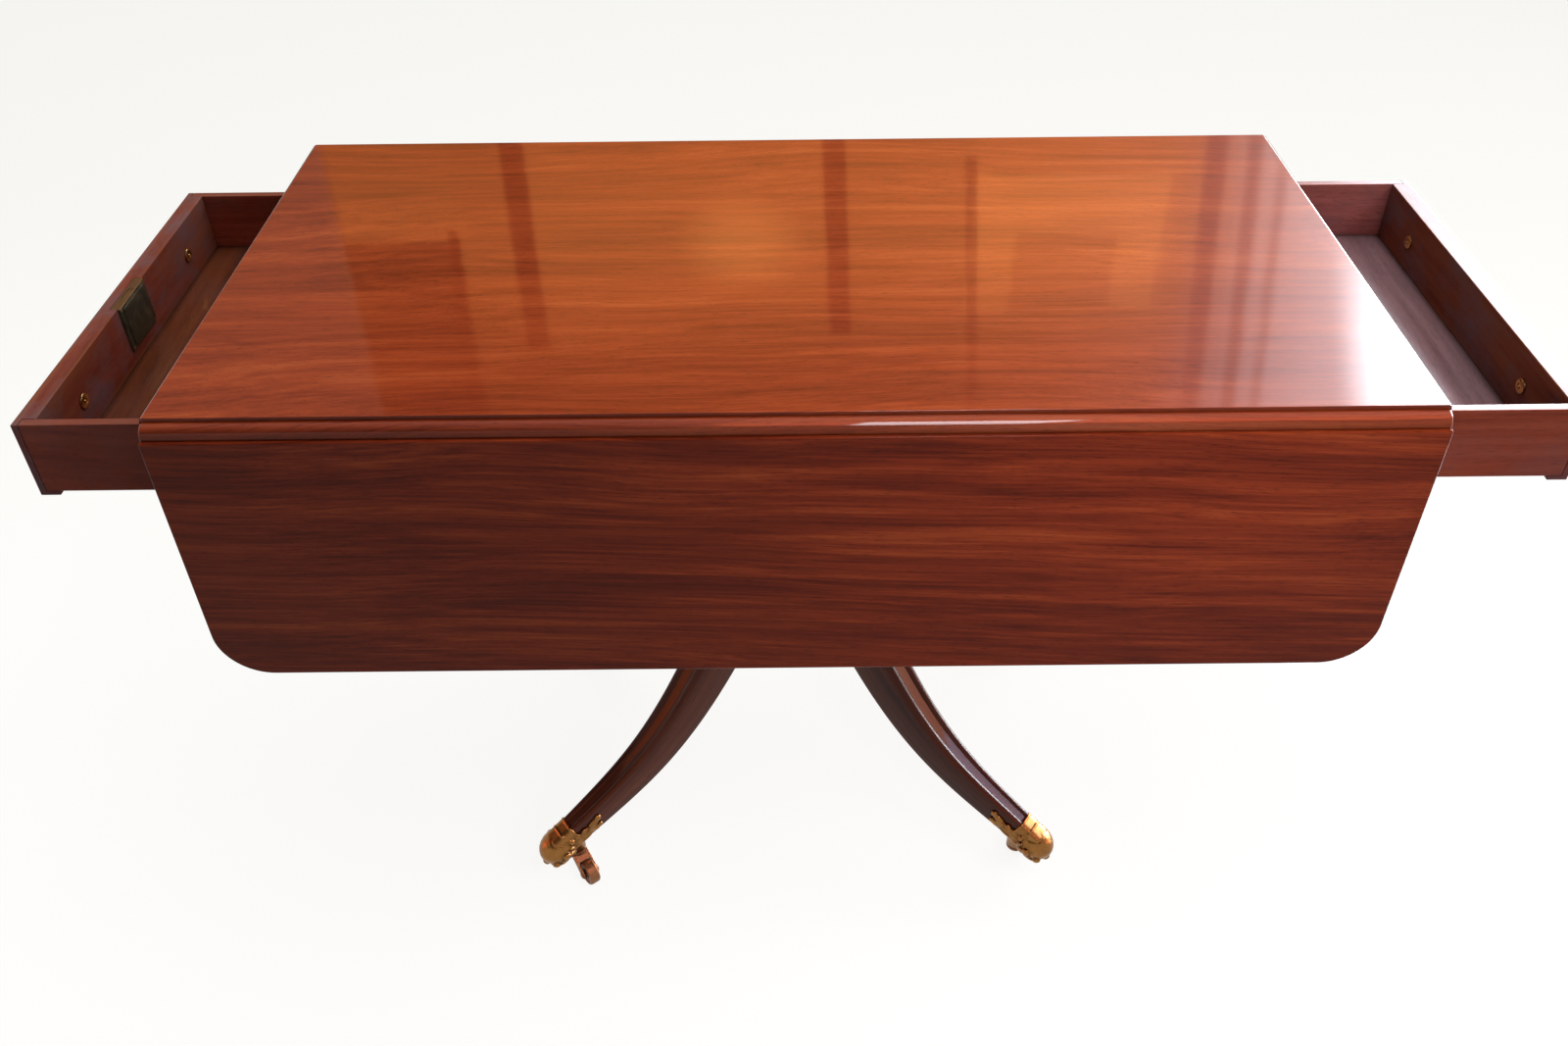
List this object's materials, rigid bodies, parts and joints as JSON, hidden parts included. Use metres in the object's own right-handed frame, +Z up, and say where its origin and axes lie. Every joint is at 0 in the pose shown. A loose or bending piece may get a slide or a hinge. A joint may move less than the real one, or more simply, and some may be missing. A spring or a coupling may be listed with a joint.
{
  "type": "pembroke table",
  "caption": "Drop-leaf pembroke table with rule-jointed leaves, a drawer at each end, swinging flies, and a turned pillar on sabre legs with brass castors.",
  "frame": {"origin": "on the floor under the middle of the fixed top", "axes": "+X along the table's length and its hinge lines, towards the right drawer; +Y away from the front leaf; +Z up"},
  "size_m": [1.404, 0.57, 0.72],
  "materials": {
    "polished_mahogany": "French-polished mahogany, red brown, glossy",
    "dark_mahogany": "dark French-polished mahogany",
    "drawer_lining": "worn satin mahogany",
    "carcass_wood": "bare secondary wood, toned by age",
    "gilt_brass": "aged lacquered gilt brass",
    "blackened_iron": "blackened, worn"
  },
  "bodies": {
    "carcass": {"table_top": "polished_mahogany", "hinge_top_flap_front_left": "gilt_brass", "hinge_top_flap_front_right": "gilt_brass", "hinge_top_flap_back_left": "gilt_brass", "hinge_top_flap_back_right": "gilt_brass", "side_rail_front": "carcass_wood", "side_rail_back": "carcass_wood", "fly_block_front": "carcass_wood", "fly_block_back": "carcass_wood", "end_top_rail_left": "polished_mahogany", "end_top_rail_right": "polished_mahogany", "end_bottom_rail_left": "polished_mahogany", "end_bottom_rail_right": "polished_mahogany", "drawer_runner_front": "carcass_wood", "drawer_runner_back": "carcass_wood", "pedestal_bearer": "dark_mahogany", "pillar": "dark_mahogany", "leg_front_left": "dark_mahogany", "leg_front_right": "dark_mahogany", "leg_back_left": "dark_mahogany", "leg_back_right": "dark_mahogany", "toe_cap_front_left": "gilt_brass", "toe_cap_front_right": "gilt_brass", "toe_cap_back_left": "gilt_brass", "toe_cap_back_right": "gilt_brass"},
    "front_leaf": {"leaf_front": "polished_mahogany", "hinge_leaf_flap_front_left": "gilt_brass", "hinge_leaf_flap_front_right": "gilt_brass"},
    "back_leaf": {"leaf_back": "polished_mahogany", "hinge_leaf_flap_back_left": "gilt_brass", "hinge_leaf_flap_back_right": "gilt_brass"},
    "left_drawer": {"drawer_front_left": "polished_mahogany", "drawer_side_left_front": "drawer_lining", "drawer_side_left_back": "drawer_lining", "drawer_back_left": "drawer_lining", "drawer_bottom_left": "drawer_lining", "knob_left_front": "gilt_brass", "knob_left_back": "gilt_brass", "lock_case": "blackened_iron", "keyhole_escutcheon": "gilt_brass"},
    "left_lock_bolt": {"lock_bolt": "gilt_brass"},
    "right_drawer": {"drawer_front_right": "polished_mahogany", "drawer_side_right_front": "drawer_lining", "drawer_side_right_back": "drawer_lining", "drawer_back_right": "drawer_lining", "drawer_bottom_right": "drawer_lining", "knob_right_front": "gilt_brass", "knob_right_back": "gilt_brass"},
    "front_left_fly": {"fly_front_left": "carcass_wood"},
    "front_right_fly": {"fly_front_right": "carcass_wood"},
    "back_left_fly": {"fly_back_left": "carcass_wood"},
    "back_right_fly": {"fly_back_right": "carcass_wood"},
    "front_left_castor": {"castor_horn_front_left": "gilt_brass"},
    "front_right_castor": {"castor_horn_front_right": "gilt_brass"},
    "back_left_castor": {"castor_horn_back_left": "gilt_brass"},
    "back_right_castor": {"castor_horn_back_right": "gilt_brass"},
    "front_left_wheel": {"castor_wheel_front_left": "gilt_brass"},
    "front_right_wheel": {"castor_wheel_front_right": "gilt_brass"},
    "back_left_wheel": {"castor_wheel_back_left": "gilt_brass"},
    "back_right_wheel": {"castor_wheel_back_right": "gilt_brass"}
  },
  "joints": [
    {"name": "front_leaf_fold", "type": "hinge", "parent": "carcass", "child": "front_leaf", "pos_m": [0, -0.27, 0.705], "axis": [-1, 0, 0], "range_deg": [0, 90]},
    {"name": "back_leaf_fold", "type": "hinge", "parent": "carcass", "child": "back_leaf", "pos_m": [0, 0.27, 0.705], "axis": [1, 0, 0], "range_deg": [0, 90]},
    {"name": "left_drawer_slide", "type": "slide", "parent": "carcass", "child": "left_drawer", "axis": [-1, 0, 0], "range_m": [-0.1645, 0.1355]},
    {"name": "right_drawer_slide", "type": "slide", "parent": "carcass", "child": "right_drawer", "axis": [1, 0, 0], "range_m": [-0.1795, 0.1205]},
    {"name": "lock_bolt_throw", "type": "slide", "parent": "left_drawer", "child": "left_lock_bolt", "axis": [0, 0, 1], "range_m": [0, 0.008]},
    {"name": "front_left_fly_swing", "type": "hinge", "parent": "carcass", "child": "front_left_fly", "pos_m": [-0.105, -0.2491, 0.7017], "axis": [0, 0, 1], "range_deg": [0, 2.5]},
    {"name": "front_right_fly_swing", "type": "hinge", "parent": "carcass", "child": "front_right_fly", "pos_m": [0.105, -0.2491, 0.7017], "axis": [0, 0, -1], "range_deg": [0, 2.5]},
    {"name": "back_left_fly_swing", "type": "hinge", "parent": "carcass", "child": "back_left_fly", "pos_m": [-0.105, 0.2491, 0.7017], "axis": [0, 0, -1], "range_deg": [0, 2.5]},
    {"name": "back_right_fly_swing", "type": "hinge", "parent": "carcass", "child": "back_right_fly", "pos_m": [0.105, 0.2491, 0.7017], "axis": [0, 0, 1], "range_deg": [0, 2.5]},
    {"name": "front_left_castor_swivel", "type": "hinge", "parent": "carcass", "child": "front_left_castor", "pos_m": [-0.26042, -0.17898, 0.03674], "axis": [0, 0, 1], "continuous": true},
    {"name": "front_right_castor_swivel", "type": "hinge", "parent": "carcass", "child": "front_right_castor", "pos_m": [0.26042, -0.17898, 0.03674], "axis": [0, 0, 1], "continuous": true},
    {"name": "back_left_castor_swivel", "type": "hinge", "parent": "carcass", "child": "back_left_castor", "pos_m": [-0.26042, 0.17898, 0.03674], "axis": [0, 0, 1], "continuous": true},
    {"name": "back_right_castor_swivel", "type": "hinge", "parent": "carcass", "child": "back_right_castor", "pos_m": [0.26042, 0.17898, 0.03674], "axis": [0, 0, 1], "continuous": true},
    {"name": "front_left_wheel_roll", "type": "hinge", "parent": "front_left_castor", "child": "front_left_wheel", "pos_m": [-0.24538, -0.19895, 0.015], "axis": [0.7986, 0.6018, 0], "continuous": true},
    {"name": "front_right_wheel_roll", "type": "hinge", "parent": "front_right_castor", "child": "front_right_wheel", "pos_m": [0.27292, -0.15733, 0.015], "axis": [-0.866, 0.5, 0], "continuous": true},
    {"name": "back_left_wheel_roll", "type": "hinge", "parent": "back_left_castor", "child": "back_left_wheel", "pos_m": [-0.28208, 0.19148, 0.015], "axis": [-0.5, -0.866, 0], "continuous": true},
    {"name": "back_right_wheel_roll", "type": "hinge", "parent": "back_right_castor", "child": "back_right_wheel", "pos_m": [0.28392, 0.18754, 0.015], "axis": [-0.342, 0.9397, 0], "continuous": true}
  ]
}
